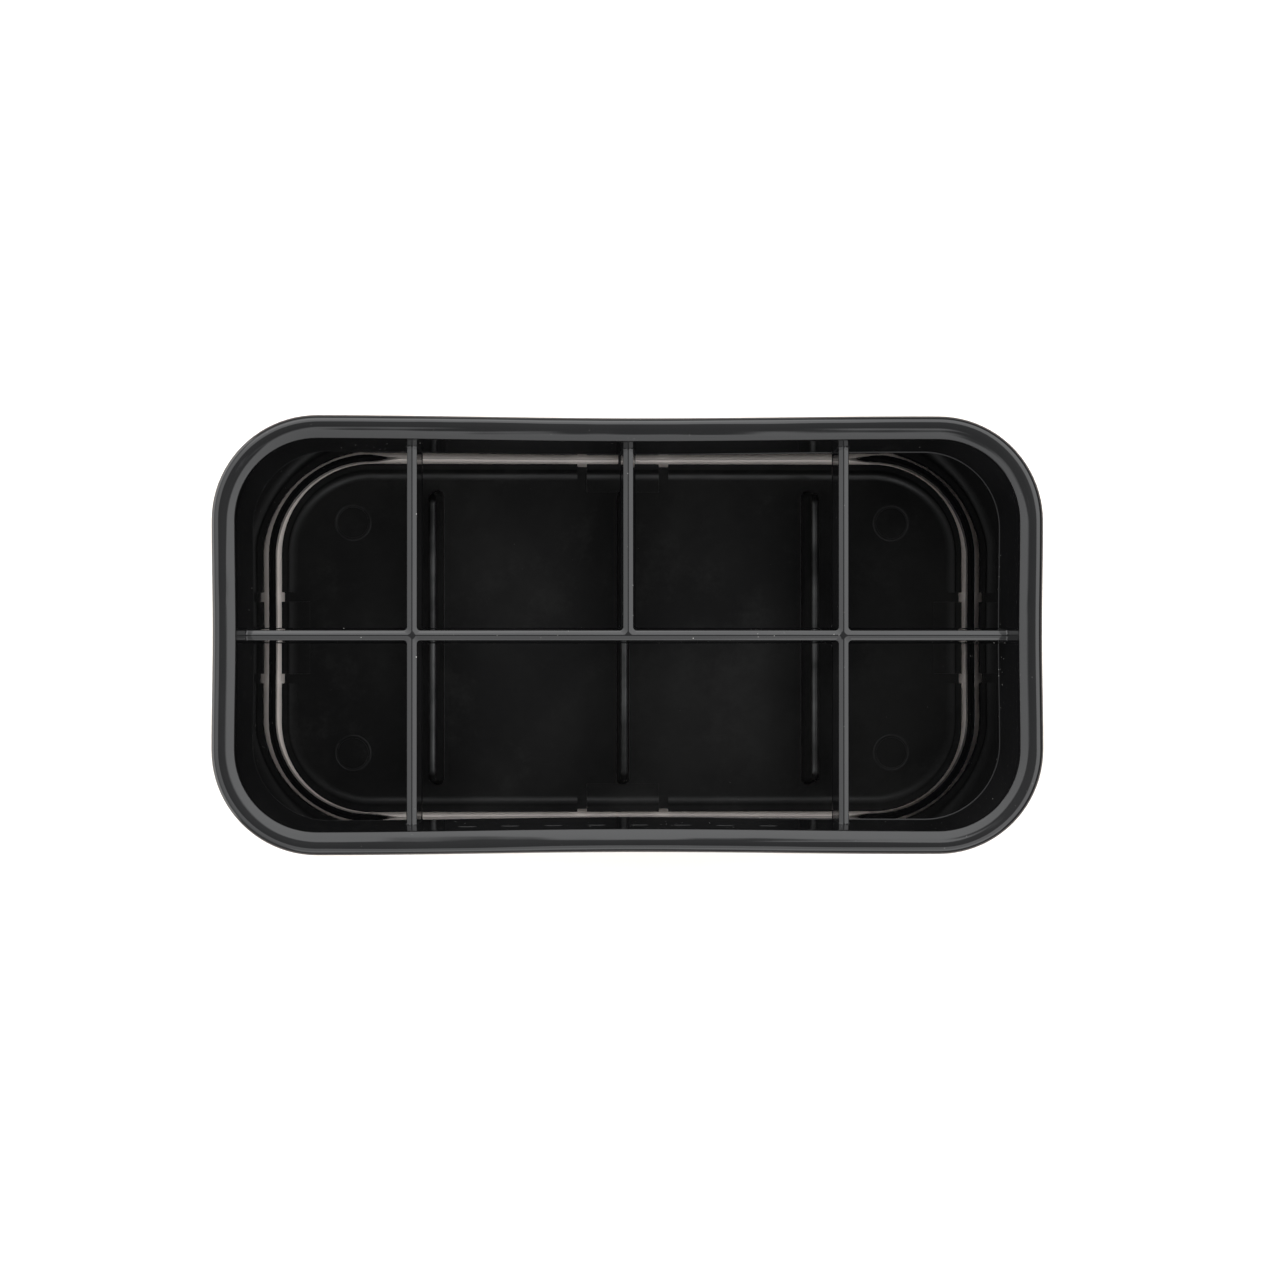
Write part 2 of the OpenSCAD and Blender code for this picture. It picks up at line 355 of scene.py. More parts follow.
def bar_levels():
    """[height, half width] up a bar: a beaded foot, drafted faces, a round edge, a gabled crown."""
    top = RIM_Z - GRID_DROP
    edge_r, crown = 0.22 * MM, 0.33 * MM
    shoulder = top - crown
    bead_r = 0.14 * MM
    bead_z = SKIRT_Z + 0.35 * MM
    levels = [(SKIRT_Z, BAR_FOOT - 0.15 * MM), (SKIRT_Z + 0.1 * MM, BAR_FOOT)]
    levels += [
        (bead_z + bead_r * sin(radians(a)), BAR_FOOT + bead_r * cos(radians(a)))
        for a in (-60, -30, 0, 30, 60)
    ]
    levels += [(bead_z + 0.3 * MM, BAR_FOOT - 0.02 * MM), (shoulder - edge_r, BAR_TOP)]
    levels += [
        (shoulder - edge_r * (1 - sin(radians(a))), BAR_TOP - edge_r * (1 - cos(radians(a))))
        for a in (20, 40, 55)
    ]
    # the gable: straight slopes that meet in a ridge rounded to this radius
    foot_z, foot_w = levels[-1]
    ridge = 0.26 * MM
    full = (foot_w ** 2 + ridge ** 2) ** 0.5 - ridge
    for t in (0.12, 0.26, 0.4, 0.54, 0.66, 0.76, 0.84, 0.9, 0.95, 0.985):
        w = foot_w * (1 - t)
        fall = ((w ** 2 + ridge ** 2) ** 0.5 - ridge) / full
        levels.append((top - (top - foot_z) * fall, w))
    return levels


def divider_grid():
    """The seven-cell grid, its bars filleted to each other and to the wall."""
    return ring_piece("grid", [grid_ring(z, w, BAR_FILLET) for z, w in bar_levels()])


def skirt_dashes():
    """A row of low lens-shaped beads on the front wall, between the lip and the grid."""
    first, pitch, count = -39.1 * MM, 10.45 * MM, 8
    half_l, half_h, proud = 2.4 * MM, 0.5 * MM, 0.22 * MM
    drop = 7.3 * MM
    z = RIM_Z - drop
    beads = []
    for k in range(count):
        x = first + pitch * k
        v = skirt_in(z)
        straight = RIM_HX - v - body_radius(v, z)
        wall = -(RIM_HY - v - BOW_LONG * (1 - cos(pi * (x + straight) / straight)) / 2)
        bm = bmesh.new()
        bmesh.ops.create_uvsphere(bm, u_segments=24, v_segments=12, radius=1)
        bm.transform(
            Matrix.Translation((x, wall, z)) @ Matrix.Diagonal((half_l, proud, half_h, 1))
        )
        beads.append(new_piece(f"bead_{k}", bm))
    return joined("beads", beads)


def waves_on_lip(piece):
    """Sinks the lip's top unevenly, as a thick moulded rim does when it cools, most on the
    long sides, and draws faint flow lines along it."""
    depth, first, last = 0.17 * MM, 0.9 * MM, 4.9 * MM
    streak, lowest = 0.016 * MM, RIM_Z - 1.2 * MM
    for vert in piece.data.vertices:
        x, y, z = vert.co
        if z < lowest:
            continue
        inset, long_side = lip_place(x, y)
        share = min(1.0, max(0.0, (inset - first) / (last - first)))
        hump = sin(pi * share)
        swell = noise_at(x * 26, y * 26) + 0.5 * noise_at(x * 120 + 7, y * 120)
        line = noise_at(inset * 1600, x * 22, y * 22)
        line += 0.6 * noise_at(inset * 900, x * 60, y * 60)
        sink = depth * hump * (0.42 * long_side - 0.1 + 0.5 * swell) - streak * hump * line
        vert.co.z = min(z, z - sink)


def noise_at(x, y, z=0.5):
    return mathutils.noise.noise(Vector((x, y, z)))


def lip_place(x, y):
    """Distance inwards from the rim's outer edge, its bow left out, and 1 on a long side."""
    dx = abs(x) - (RIM_HX - RIM_R)
    dy = abs(y) - (RIM_HY - RIM_R)
    if dx > 0 and dy > 0:
        out = (dx ** 2 + dy ** 2) ** 0.5
        return RIM_R - out, (dy / out) ** 2
    return RIM_R - max(dx, dy), float(dy > dx)


def faded_foot(v, z):
    """A ring of the lip or skirt; the skirt's foot line dies away towards the left end."""
    foot_h, least, fade_l = 0.8 * MM, 0.15, 90 * MM
    ring = body_ring(v, z)
    proud = v - skirt_in(z)
    if z > SKIRT_Z + foot_h or proud <= 0:
        return ring
    plain = body_ring(skirt_in(z) + least * proud, z)
    faded = []
    for (x, y, _), (px, py, _) in zip(ring, plain):
        keep = min(1.0, max(0.0, 0.5 + x / fade_l))
        faded.append((px + (x - px) * keep, py + (y - py) * keep, z))
    return faded


def collar(material):
    rings = [faded_foot(v, z) for v, z in lip_section()]
    piece = ring_piece("collar_moulding", rings, loop=True)
    waves_on_lip(piece)
    combine(piece, divider_grid(), "UNION")
    combine(piece, skirt_dashes(), "UNION")
    finish_piece(piece, "collar", "collar", material)
    return piece


# --- sleeve ---

def wall_in(z):
    return MOUTH_IN - FLARE * (SLEEVE_HIGH.z - z)


def wall_ring(v, z, back=0.0):
    """One ring of the wall; between the corners its long sides stand out by back."""
    bow = FOOT_BOW + (1 - FOOT_BOW) * z / SLEEVE_HIGH.z
    return body_ring(v, z, bow, SQUEEZE * (SLEEVE_HIGH.z - z), back)


def nub_reach(turn):
    return NUB_OUT if turn % 180 == 0 else BACK_NUB_OUT


def sleeve(material):
    low, high = SLEEVE_LOW.z, SLEEVE_HIGH.z
    edge = 0.3 * MM
    ledge_z = LEDGE_TOP + LEDGE_RISE
    ledge = wall_in(LEDGE_TOP) + LEDGE_W
    foot_out = wall_in(low + edge) - WALL
    steps = 10
    climb = [low + edge + (high - low - 2 * edge) * t / steps for t in range(1, steps)]
    fall = [high - edge - (high - ledge_z - edge) * t / steps for t in range(1, steps + 1)]
    wall = (
        arc(foot_out + edge, low + edge, edge, edge, 270, 180, 4)
        + [(wall_in(z) - WALL, z) for z in climb]
        + arc(wall_in(high) - WALL + edge, high - edge, edge, edge, 180, 90, 3)
        + arc(wall_in(high) - edge, high - edge, edge, edge, 90, 0, 3)
        + [(wall_in(z), z) for z in fall[:-1]]
        + [(wall_in(ledge_z + edge), ledge_z + edge), (wall_in(ledge_z), ledge_z)]
    )
    foot = [(ledge, LEDGE_TOP), (ledge, low + edge / 2), (ledge - edge / 2, low)]
    rings = [wall_ring(v, z) for v, z in wall] + [wall_ring(v, z, LEDGE_W) for v, z in foot]
    piece = ring_piece("sleeve_wall", rings, loop=True)
    gap = 0.3 * MM
    half = NUB_HALF + gap
    notches = []
    for turn in (0, 90, 180):
        reach = nub_reach(turn) + gap
        nub_room = [(0, -half), (reach, -half), (reach, half), (0, half)]
        notches.append(prism("notch", nub_room, 0, PLATE_Z + NUB_H, edge_place(turn)))
    combine(piece, joined("notches", notches), "DIFFERENCE")
    finish_piece(piece, "sleeve", "sleeve", material)
    return piece


# --- floor plate and its tongues ---

def edge_place(turn):
    """From a frame at the middle of the plate's edge, +X outwards, to the row frame."""
    reach = PLATE_HIGH.x if turn % 180 == 0 else PLATE_HIGH.y
    return Matrix.Rotation(radians(turn), 4, "Z") @ Matrix.Translation((reach, 0, 0))


def plate_ring(v, z):
    flat = outline(PLATE_HIGH.x - v, PLATE_HIGH.y - v, PLATE_R - v)
    return [(x, y, z) for x, y in flat]


def bead_share(y, end):
    """The bead's height falls towards the front, and towards the ends, where end is 1."""
    towards_front = 0.5 - y / (2 * PLATE_HIGH.y)
    front = 1 - (1 - FRONT_BEAD_SHARE) * towards_front
    return front * (1 - (1 - END_BEAD_SHARE) * end)


def bead_profile(y=None, end=0.0):
    """[inset, height] over the bead, a low smooth swelling whose crest leans out at the ends.

    Without y it is the full swelling, which the slab then lowers from place to place.
    """
    steps = 14
    rise = BEAD_RISE * (1.0 if y is None else bead_share(y, end))
    profile = []
    for i in range(steps + 1):
        t = i / steps * 2 - 1
        height = (1 + cos(pi * t)) / 2
        inset = BEAD_IN + BEAD_R * t - END_BEAD_SKEW * end * height
        profile.append((inset, FLOOR_Z + rise * height))
    return profile


def slab():
    edge = 0.3 * MM
    section = (
        arc(edge, PLATE_Z + edge, edge, edge, 270, 180, 4)
        + arc(edge, FLOOR_Z - edge, edge, edge, 180, 90, 4)
        + bead_profile()
        + [(BEAD_IN + 4 * MM, FLOOR_Z)]
    )
    piece = ring_piece("floor_moulding", [plate_ring(v, z) for v, z in section])
    shape_bead(piece)
    return piece


def shape_bead(piece):
    """Lowers the slab's bead towards the front and the ends, and leans it out at the ends."""
    straight, end = PLATE_HIGH.x - PLATE_R, PLATE_HIGH.x - BEAD_IN - BEAD_R
    for vert in piece.data.vertices:
        x, y, z = vert.co
        if z > FLOOR_Z:
            along = min(1.0, max(0.0, (abs(x) - straight) / (end - straight)))
            height = (z - FLOOR_Z) / BEAD_RISE
            vert.co.x = x + copysign(END_BEAD_SKEW * along * height, x)
            vert.co.z = FLOOR_Z + (z - FLOOR_Z) * bead_share(y, along)


def partition(x):
    """A low fin: filleted foot, drafted faces, leaning ends with round shoulders, crowned top."""
    fillet = 0.35 * MM
    shoulder = 3 * MM
    levels = [(-1 * MM, FIN_FOOT + fillet, FIN_HALF + fillet)]
    for a in (0, 20, 40, 60, 75, 90):
        out = fillet * (1 - sin(radians(a)))
        levels.append((fillet * (1 - cos(radians(a))), FIN_FOOT + out, FIN_HALF + out))
    crown = 0.42 * MM
    side_h = FIN_H - crown
    steps = 16
    drafted = [fillet + (side_h - fillet) * t / steps for t in range(1, steps + 1)]
    across = (0.9, 0.78, 0.64, 0.5, 0.36, 0.2, 0.08)
    for z, half_w in [(z, None) for z in drafted] + [(side_h, FIN_TOP * c) for c in across]:
        if half_w is None:
            half_w = FIN_FOOT + (FIN_TOP - FIN_FOOT) * z / side_h
        else:
            z += crown * (1 - (half_w / FIN_TOP) ** 2)
        share = z / FIN_H
        rise = max(0.0, z - (FIN_H - shoulder)) / shoulder
        half_l = FIN_HALF - FIN_LEAN * share - shoulder * (1 - (1 - rise ** 2) ** 0.5)
        levels.append((z, half_w, half_l))
    rings = []
    for z, half_w, half_l in levels:
        rings.append([(x + px, py, FLOOR_Z + z) for px, py in stadium(half_w, half_l)])
    return ring_piece("fin", rings)


def window_outline():
    """Room for one tongue with its two round-cornered relief notches."""
    half = TONGUE_HALF + SLIT
    wide = TONGUE_HALF + NOTCH_W
    root, past, r = -TONGUE_L - ROOT_GAP, 1 * MM, 0.4 * MM
    upper = [(past, wide)] + arc(-NOTCH_L + r, wide - r, r, r, 90, 180, 4)
    upper += [(-NOTCH_L, half), (root, half)]
    return [(x, -y) for x, y in reversed(upper)] + upper


def cut_windows(piece):
    """Cuts room for the tongues, and ends the bead at each notch."""
    below, above = -1 * MM, FLOOR_Z + 3 * MM
    half, wide = TONGUE_HALF + SLIT / 2, TONGUE_HALF + NOTCH_W
    bead_x = (-BEAD_IN - BEAD_R - 0.5 * MM, -NOTCH_L / 2)
    cuts, bead_cuts = [], []
    for turn in (0, 90, 180, 270):
        cuts.append(prism("window", window_outline(), below, above, edge_place(turn)))
        for sy in (-1, 1):
            y0, y1 = sorted((sy * half, sy * wide))
            flat = [(bead_x[0], y0), (bead_x[1], y0), (bead_x[1], y1), (bead_x[0], y1)]
            low = FLOOR_Z + 0.02 * MM
            bead_cuts.append(prism("gap", flat, low, above, edge_place(turn)))
    combine(piece, joined("windows", cuts), "DIFFERENCE")
    combine(piece, joined("gaps", bead_cuts), "DIFFERENCE")


def cut_seats(piece):
    """The feet's seats underneath, and the round marks they leave on the floor above."""
    below, above = -1 * MM, FLOOR_Z + 1 * MM
    places = [(x, y) for x in (-FOOT_X, FOOT_X) for y in (-FOOT_Y, FOOT_Y)]
    rims = [mark_rim(x, y) for x, y in places]
    combine(piece, joined("rims", rims), "UNION")
    mark_r = SEAT_R - 0.35 * MM
    mark_draft = 0.3 * MM
    floor = FLOOR_Z - MARK_DEEP
    seats = []
    for x, y in places:
        seats.append(disc(x, y, ((SEAT_R, below), (SEAT_R, FOOT_TOP))))
        seats.append(disc(x, y, ((mark_r - mark_draft, floor), (mark_r, above))))
    combine(piece, joined("seats", seats), "DIFFERENCE")


def floor_plate(material):
    piece = slab()
    fins = [partition(x) for x in (-CROSS_X, 0, CROSS_X)]
    combine(piece, joined("fins", fins), "UNION")
    cut_windows(piece)
    cut_seats(piece)
    finish_piece(piece, "base", "floor_plate", material)
    return piece


def mark_rim(x, y):
    """The low rounded rim of a round mark on the floor."""
    half, rise, sunk = 0.32 * MM, 0.11 * MM, 0.3 * MM
    section = arc(SEAT_R, FLOOR_Z, half, rise, 0, 180, 6)
    section += [(SEAT_R - half, FLOOR_Z - sunk), (SEAT_R + half, FLOOR_Z - sunk)]
    return ring_piece("rim", [circle(x, y, r, z) for r, z in section], loop=True)


def circle(x, y, r, z):
    return [(px, py, z) for px, py in arc(x, y, r, r, 0, 360, CIRCLE_STEPS)[:-1]]


def disc(x, y, section):
    """Turned solid about a vertical axis through (x, y), from (radius, height) pairs."""
    return ring_piece("disc", [circle(x, y, r, z) for r, z in section])


def nub(reach, upright):
    """The small hook that carries the sleeve. The front tongue has none."""
    low, top = PLATE_Z + 0.2 * MM, PLATE_Z + NUB_H
    chamfer = 0.5 * MM
    side = [(-1 * MM, low), (reach, low), (reach, top - chamfer), (reach - chamfer, top)]
    return prism("nub", side + [(-1 * MM, top)], -NUB_HALF, NUB_HALF, upright)


def tongue(name, turn, material):
    """One latch: a root rounded below, a flat tongue, its bead and, on three, a nub."""
    edge = 0.25 * MM
    root_r = PLATE_T / 2
    reach = TONGUE_L + ROOT_GAP * 0.9
    half = TONGUE_HALF + SLIT * 0.9
    bead_y = (PLATE_HIGH.y - BEAD_IN) * sin(radians(turn))
    side = (
        [(root_r - reach, FLOOR_Z), (-reach, FLOOR_Z), (-reach, PLATE_Z + root_r * 1.4)]
        + arc(root_r - reach, PLATE_Z + root_r, root_r, root_r, 180, 270, 7)
        + [(-0.7 * MM * i, PLATE_Z) for i in range(9, 0, -1)]
        + arc(-edge, PLATE_Z + edge, edge, edge, -90, 0, 3)
        + arc(-edge, FLOOR_Z - edge, edge, edge, 0, 90, 3)
        + [(-v, z) for v, z in bead_profile(bead_y, float(turn % 180 == 0))]
        + [(-BEAD_IN - BEAD_R - 0.4 * MM * i, FLOOR_Z) for i in range(1, 6)]
    )
    # the side outline lies in XZ and is drawn out along Y
    upright = Matrix(((1, 0, 0, 0), (0, 0, -1, 0), (0, 1, 0, 0), (0, 0, 0, 1)))
    piece = prism(name, side, -half, half, upright, steps=40)
    if turn != 270:
        combine(piece, nub(nub_reach(turn), upright), "UNION")
    piece.data.transform(edge_place(turn))
    node = name.replace("tongue", "latch")
    finish_piece(piece, node, node, material)
    return piece


def foot(name, sx, sy, material):
    """A rubber pad with a rolled lower edge and a shallow dished sole."""
    edge = 0.6 * MM
    sole = FOOT_R - edge
    top_edge = edge / 3
    section = [(sole * 0.55, 0.12 * MM), (sole * 0.7, 0.1 * MM), (sole * 0.82, 0)]
    section += arc(sole, edge, edge, edge, -90, 0, 6)
    section += arc(FOOT_R - top_edge, FOOT_TOP - top_edge, top_edge, top_edge, 0, 90, 3)
    piece = disc(sx * FOOT_X, sy * FOOT_Y, section)
    piece.name = name
    finish_piece(piece, "base", name.replace("pad", "foot"), material)
    return piece


# --- materials ---

def add(tree, kind, **inputs):
    node = tree.nodes.new(kind)
    for key, value in inputs.items():
        node.inputs[key.replace("_", " ")].default_value = value
    return node


def noise(tree, coords, scale, detail=2.0, rough=0.5):
    node = add(tree, "ShaderNodeTexNoise", Scale=scale, Detail=detail, Roughness=rough)
    tree.links.new(coords, node.inputs["Vector"])
    return node.outputs["Fac"]


def spread(tree, value, low, high, to_low, to_high):
    """value between low and high, mapped smoothly to between to_low and to_high."""
    node = tree.nodes.new("ShaderNodeMapRange")
    node.interpolation_type = "SMOOTHSTEP"
    for key, number in zip(range(1, 5), (low, high, to_low, to_high)):
        node.inputs[key].default_value = number
    tree.links.new(value, node.inputs[0])
    return node.outputs[0]


def mix_colour(tree, factor, a, b):
    node = tree.nodes.new("ShaderNodeMix")
    node.data_type = "RGBA"
    tree.links.new(factor, node.inputs[0])
    for socket, colour in ((6, a), (7, b)):
        if isinstance(colour, tuple):
            node.inputs[socket].default_value = (*colour, 1)
        else:
            tree.links.new(colour, node.inputs[socket])
    return node.outputs[2]


def maths(tree, operation, a, b):
    """a with b, which is a number or a link."""
    node = tree.nodes.new("ShaderNodeMath")
    node.operation = operation
    tree.links.new(a, node.inputs[0])
    if isinstance(b, float):
        node.inputs[1].default_value = b
    else:
        tree.links.new(b, node.inputs[1])
    return node.outputs[0]


def sum_of(tree, a, b):
    return maths(tree, "ADD", a, b)


def product_of(tree, a, b):
    return maths(tree, "MULTIPLY", a, b)


def vector_maths(tree, operation, vector, fixed=None):
    node = tree.nodes.new("ShaderNodeVectorMath")
    node.operation = operation
    tree.links.new(vector, node.inputs[0])
    if fixed is not None:
        node.inputs[1].default_value = fixed
    return node.outputs


def dust_mask(tree, coords, per_metre, size):
    """Small scattered specks: near the points of a cell pattern, in some of its cells only."""
    cells = add(tree, "ShaderNodeTexVoronoi", Scale=per_metre)
    tree.links.new(coords, cells.inputs["Vector"])
    spot = spread(tree, cells.outputs["Distance"], size * 0.6, size, 1.0, 0.0)
    pick = tree.nodes.new("ShaderNodeSeparateColor")
    tree.links.new(cells.outputs["Color"], pick.inputs[0])
    chosen = spread(tree, pick.outputs[0], 0.74, 1.0, 0.0, 1.0)
    return product_of(tree, spot, chosen)


def foot_marks(tree, coords):
    """Dull broken rings over the four feet, where the plastic is strained round their seats."""
    fold = vector_maths(tree, "ABSOLUTE", coords)[0]
    shift = vector_maths(tree, "SUBTRACT", fold, (FOOT_X, FOOT_Y, FLOOR_Z))[0]
    distance = vector_maths(tree, "LENGTH", shift)["Value"]
    inner = spread(tree, distance, SEAT_R - 0.9 * MM, SEAT_R - 0.2 * MM, 0.0, 1.0)
    outer = spread(tree, distance, SEAT_R + 0.1 * MM, SEAT_R + 0.6 * MM, 0.55, 0.0)
    broken = spread(tree, noise(tree, coords, 110.0, detail=3.0), 0.36, 0.6, 0.1, 1.0)
    return product_of(tree, product_of(tree, inner, outer), broken)


def hazed(tree, coords, colour):
    """A handled floor: cloudy haze, and the marks over the feet."""
    haze_grey, mark_grey = (0.0165, 0.0163, 0.0160), (0.028, 0.028, 0.028)
    cloud = noise(tree, coords, 42.0, detail=6.0, rough=0.75)
    haze = spread(tree, cloud, 0.48, 0.72, 0.0, 0.75)
    cloudy = mix_colour(tree, haze, colour, haze_grey)
    return mix_colour(tree, foot_marks(tree, coords), cloudy, mark_grey)


def crest_shine(tree, coords, height, base, crest):
    """Specular level that rises from base on the bead, and unevenly on the fin tops."""
    bead, top, bead_shine, top_shine = crest
    bead_fade, top_fade = 0.22 * MM, 1 * MM
    shine = spread(tree, height, bead - bead_fade, bead, base, bead_shine)
    burnish = spread(tree, height, top - top_fade, top, 0.0, top_shine - bead_shine)
    handled = spread(tree, noise(tree, coords, 75.0, detail=3.0), 0.36, 0.64, -1.1, 1.0)
    return sum_of(tree, shine, product_of(tree, burnish, handled))


def dust_specks(tree, coords, height, dust):
    """Specks of dust in patches, fewer on the lip, which is handled. dust = (per metre, size)."""
    patches = spread(tree, noise(tree, coords, 30.0, detail=3.0), 0.42, 0.62, 0.15, 1.0)
    sheltered = spread(tree, height, RIM_Z - 4 * MM, RIM_Z - 1.5 * MM, 1.0, 0.1)
    patches = product_of(tree, patches, sheltered)
    return product_of(tree, dust_mask(tree, coords, *dust), patches)


def mottled(tree, coords, deep, pale, worn, specks):
    """Colour that drifts from deep to pale, is paler on worn edges and greyed by dust."""
    dust_grey, dust_share, edge_gain = (0.46, 0.45, 0.43), 0.7, 2.2
    flow = noise(tree, coords, 18.0, detail=4.0, rough=0.6)
    drift = mix_colour(tree, spread(tree, flow, 0.35, 0.7, 0.0, 1.0), deep, pale)
    edged = mix_colour(tree, worn, drift, tuple(c * edge_gain for c in pale))
    return mix_colour(tree, product_of(tree, specks, dust_share), edged, dust_grey)


def smudged(tree, coords, gloss, worn, specks):
    """Roughness between the two of gloss, higher in dust and on worn edges."""
    smudge = noise(tree, coords, 55.0, detail=5.0, rough=0.65)
    rough = spread(tree, smudge, 0.38, 0.72, *gloss)
    rough = sum_of(tree, rough, product_of(tree, specks, 0.5))
    return sum_of(tree, rough, product_of(tree, worn, 0.08))


def bump(tree, coords, pattern, detail, under=None):
    """Bumps of pattern = (per metre, height), laid over the normal under."""
    node = add(tree, "ShaderNodeBump", Strength=1.0, Distance=pattern[1])
    tree.links.new(noise(tree, coords, pattern[0], detail=detail), node.inputs["Height"])
    if under is not None:
        tree.links.new(under, node.inputs["Normal"])
    return node.outputs[0]


def plastic(name, deep, pale, gloss, wave, grain, dust, specular=0.39, crest=None, wear=0.6):
    """Moulded plastic. gloss = (lowest, highest roughness); wave and grain = (per metre, height).

    crest = heights of the handled bead and of the burnished fin tops, then their specular levels.
    """
    material = bpy.data.materials.new(name)
    material.use_nodes = True
    tree = material.node_tree
    shader = tree.nodes["Principled BSDF"]
    coords = tree.nodes.new("ShaderNodeTexCoord").outputs["Object"]
    point = tree.nodes.new("ShaderNodeNewGeometry").outputs["Pointiness"]
    split = tree.nodes.new("ShaderNodeSeparateXYZ")
    tree.links.new(coords, split.inputs[0])
    height = split.outputs[2]

    worn = spread(tree, point, 0.515, 0.60, 0.0, 1.0)
    specks = dust_specks(tree, coords, height, dust)
    colour = mottled(tree, coords, deep, pale, product_of(tree, worn, wear), specks)
    shader.inputs["Specular IOR Level"].default_value = specular
    if crest is not None:
        colour = hazed(tree, coords, colour)
        shine = crest_shine(tree, coords, height, specular, crest)
        tree.links.new(shine, shader.inputs["Specular IOR Level"])
    tree.links.new(colour, shader.inputs["Base Color"])
    tree.links.new(smudged(tree, coords, gloss, worn, specks), shader.inputs["Roughness"])
    waves = bump(tree, coords, wave, 1.5)
    tree.links.new(bump(tree, coords, grain, 3.0, under=waves), shader.inputs["Normal"])
    return material


def rubber(name):
    return plastic(
        name, deep=(0.018, 0.018, 0.018), pale=(0.032, 0.031, 0.030), gloss=(0.62, 0.82),
        wave=(400, 0.03 * MM), grain=(2500, 0.04 * MM), dust=(260, 0.05), specular=0.35,
    )


# --- stage, light and camera ---

def pale_floor():
    """A broad pale table, very slightly warm, that sweeps up far away like a studio floor."""
    half, flat, rise = 8.5, 3.5, 1.3
    bm = bmesh.new()
    bmesh.ops.create_grid(bm, x_segments=60, y_segments=60, size=half)
    for vert in bm.verts:
        out = max(abs(vert.co.x), abs(vert.co.y))
        vert.co.z = rise * (max(0.0, out - flat) / (half - flat)) ** 2
    for face in bm.faces:
        face.smooth = True
    table = new_piece("table_top", bm)
    material = bpy.data.materials.new("table_white")
    material.use_nodes = True
    tree = material.node_tree
    shader = tree.nodes["Principled BSDF"]
    coords = tree.nodes.new("ShaderNodeTexCoord").outputs["Object"]
    blotch = noise(tree, coords, 6.0, detail=3.0)
    colour = mix_colour(tree, blotch, (0.97, 0.895, 0.845), (0.955, 0.88, 0.83))
    tree.links.new(colour, shader.inputs["Base Color"])
    shader.inputs["Roughness"].default_value = 0.65
    shader.inputs["Specular IOR Level"].default_value = 0.2
    table.data.materials.append(material)


def softbox(name, place, target, width, height, radiance):
    light = bpy.data.lights.new(name, "AREA")
    light.shape = "RECTANGLE"
    light.size, light.size_y = width, height
    light.energy = radiance * pi * width * height
    lamp = bpy.data.objects.new(name, light)
    lamp.location = place
    aim = Vector(target) - Vector(place)
    lamp.rotation_euler = aim.to_track_quat("-Z", "Y").to_euler()
    bpy.context.scene.collection.objects.link(lamp)


def leaning(tree, direction, level, lean_x, lean_y):
    """A level that grows by its leans towards +X and +Y."""
    leans = (level * lean_x, level * lean_y, 0)
    tilt = vector_maths(tree, "DOT_PRODUCT", direction, leans)["Value"]
    return sum_of(tree, tilt, level)


def surround():
    """White tent light: dim straight above, a bright ring round that, a softer horizon."""
    ceiling, ring, horizon = 0.62, 3.1, 0.46
    # one band of the tent turns into the next between these heights, cosines from straight up
    ring_foot, ring_full = cos(radians(62)), cos(radians(48))
    opening_edge, opening_full = cos(radians(24)), cos(radians(19.5))
    world = bpy.data.worlds.new("surround")
    world.use_nodes = True
    tree = world.node_tree
    sky = tree.nodes["Background"]
    direction = tree.nodes.new("ShaderNodeTexCoord").outputs["Generated"]
    split = tree.nodes.new("ShaderNodeSeparateXYZ")
    tree.links.new(direction, split.inputs[0])
    height = split.outputs[2]
    upper = leaning(tree, direction, ring, 0.28, 0.4)
    lower = leaning(tree, direction, horizon, -0.8, 0.1)
    climb = spread(tree, height, ring_foot, ring_full, 0.0, 1.0)
    fall = spread(tree, height, ring_foot, ring_full, 1.0, 0.0)
    opening = spread(tree, height, opening_edge, opening_full, 1.0, ceiling / ring)
    high = product_of(tree, product_of(tree, upper, climb), opening)
    low = product_of(tree, lower, fall)
    tree.links.new(sum_of(tree, high, low), sky.inputs[1])
    sky.inputs[0].default_value = (0.98, 0.99, 1.0, 1)
    bpy.context.scene.world = world


def studio_light():
    """The tent, soft boxes behind and in front, and a low box on the left that lights the foot."""
    middle = (0, 0, RIM_Z)
    softbox("key_box", (-0.5, 1.4, 1.25), middle, 1.6, 0.8, 1.3)
    softbox("front_box", (0.3, -1.4, 1.2), middle, 2.0, 0.7, 1.4)
    softbox("low_box", (-1.1, 0.1, 0.36), (0, 0, 0), 2.0, 0.5, 3.5)
    surround()
    bpy.context.scene.view_settings.view_transform = "Standard"


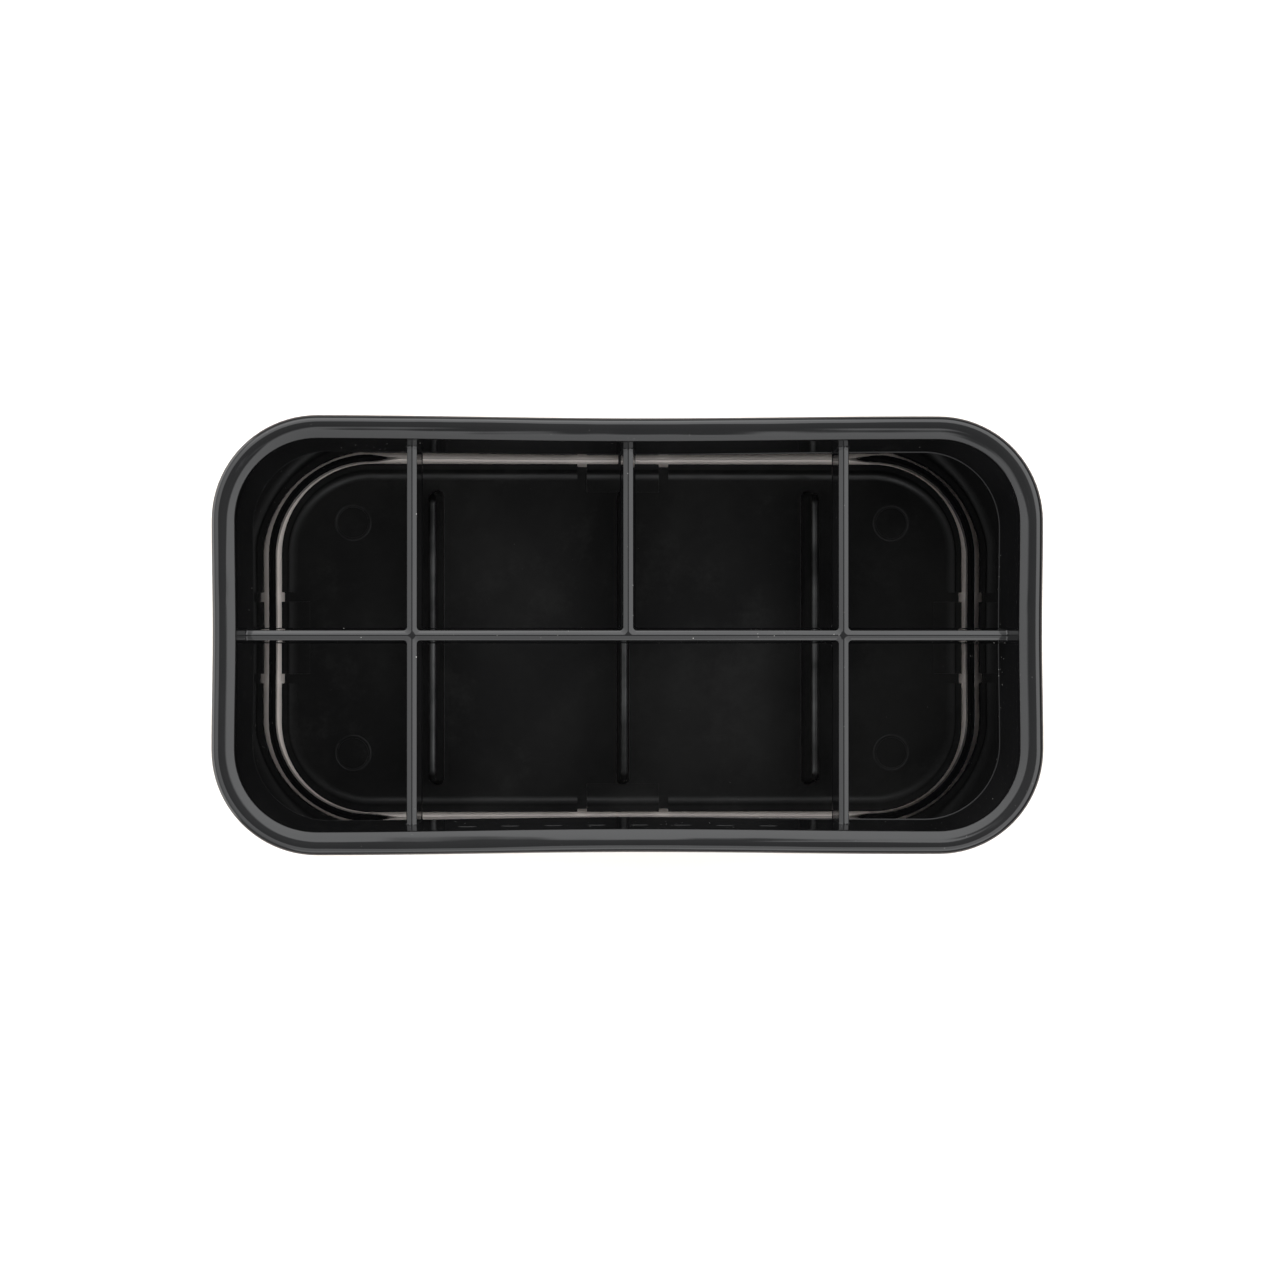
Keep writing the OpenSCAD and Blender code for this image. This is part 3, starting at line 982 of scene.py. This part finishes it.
def camera():
    """Looks almost straight down, from a little to the left of the middle."""
    stand_off = 530 * MM
    eye = Vector((-9.2 * MM, -4.1 * MM, RIM_Z + stand_off))
    target = Vector((2.6 * MM, -1.2 * MM, RIM_Z))
    frame_width = 307.4 * MM
    data = bpy.data.cameras.new("camera")
    data.sensor_width = 36
    data.angle = 2 * atan(frame_width / 2 / stand_off)
    back = (eye - target).normalized()
    right = (Vector((1, 0, 0)) - back * back.x).normalized()
    up = back.cross(right)
    obj = bpy.data.objects.new("camera", data)
    obj.matrix_world = Matrix.Translation(eye) @ Matrix((right, up, back)).transposed().to_4x4()
    bpy.context.scene.collection.objects.link(obj)
    bpy.context.scene.camera = obj


camera()
studio_light()
pale_floor()

collar_gloss = plastic(
    "collar_gloss", deep=(0.0036, 0.0036, 0.0039), pale=(0.0056, 0.0056, 0.0059),
    gloss=(0.035, 0.10), wave=(26, 0.16 * MM), grain=(900, 0.0012 * MM), dust=(750, 0.15),
)
sleeve_gloss = plastic(
    "sleeve_gloss", deep=(0.0032, 0.0032, 0.0035), pale=(0.0048, 0.0048, 0.0051),
    gloss=(0.02, 0.06), wave=(22, 0.03 * MM), grain=(900, 0.0012 * MM), dust=(750, 0.15),
)
floor_satin = plastic(
    "floor_satin", deep=(0.0034, 0.0034, 0.0035), pale=(0.0120, 0.0118, 0.0115),
    gloss=(0.34, 0.50), wave=(30, 0.06 * MM), grain=(2200, 0.006 * MM), dust=(420, 0.035),
    crest=(FLOOR_Z + 0.25 * MM, FLOOR_Z + 0.85 * FIN_H, 0.36, 0.52), specular=0.12, wear=0.15,
)
foot_rubber = rubber("foot_rubber")

collar(collar_gloss)
sleeve(sleeve_gloss)
floor_plate(floor_satin)
for side_name, side_turn in (("left", 180), ("right", 0), ("front", 270), ("back", 90)):
    tongue(f"tongue_{side_name}", side_turn, floor_satin)
for row_name, sy in (("front", -1), ("back", 1)):
    for end_name, sx in (("left", -1), ("right", 1)):
        foot(f"pad_{row_name}_{end_name}", sx, sy, foot_rubber)
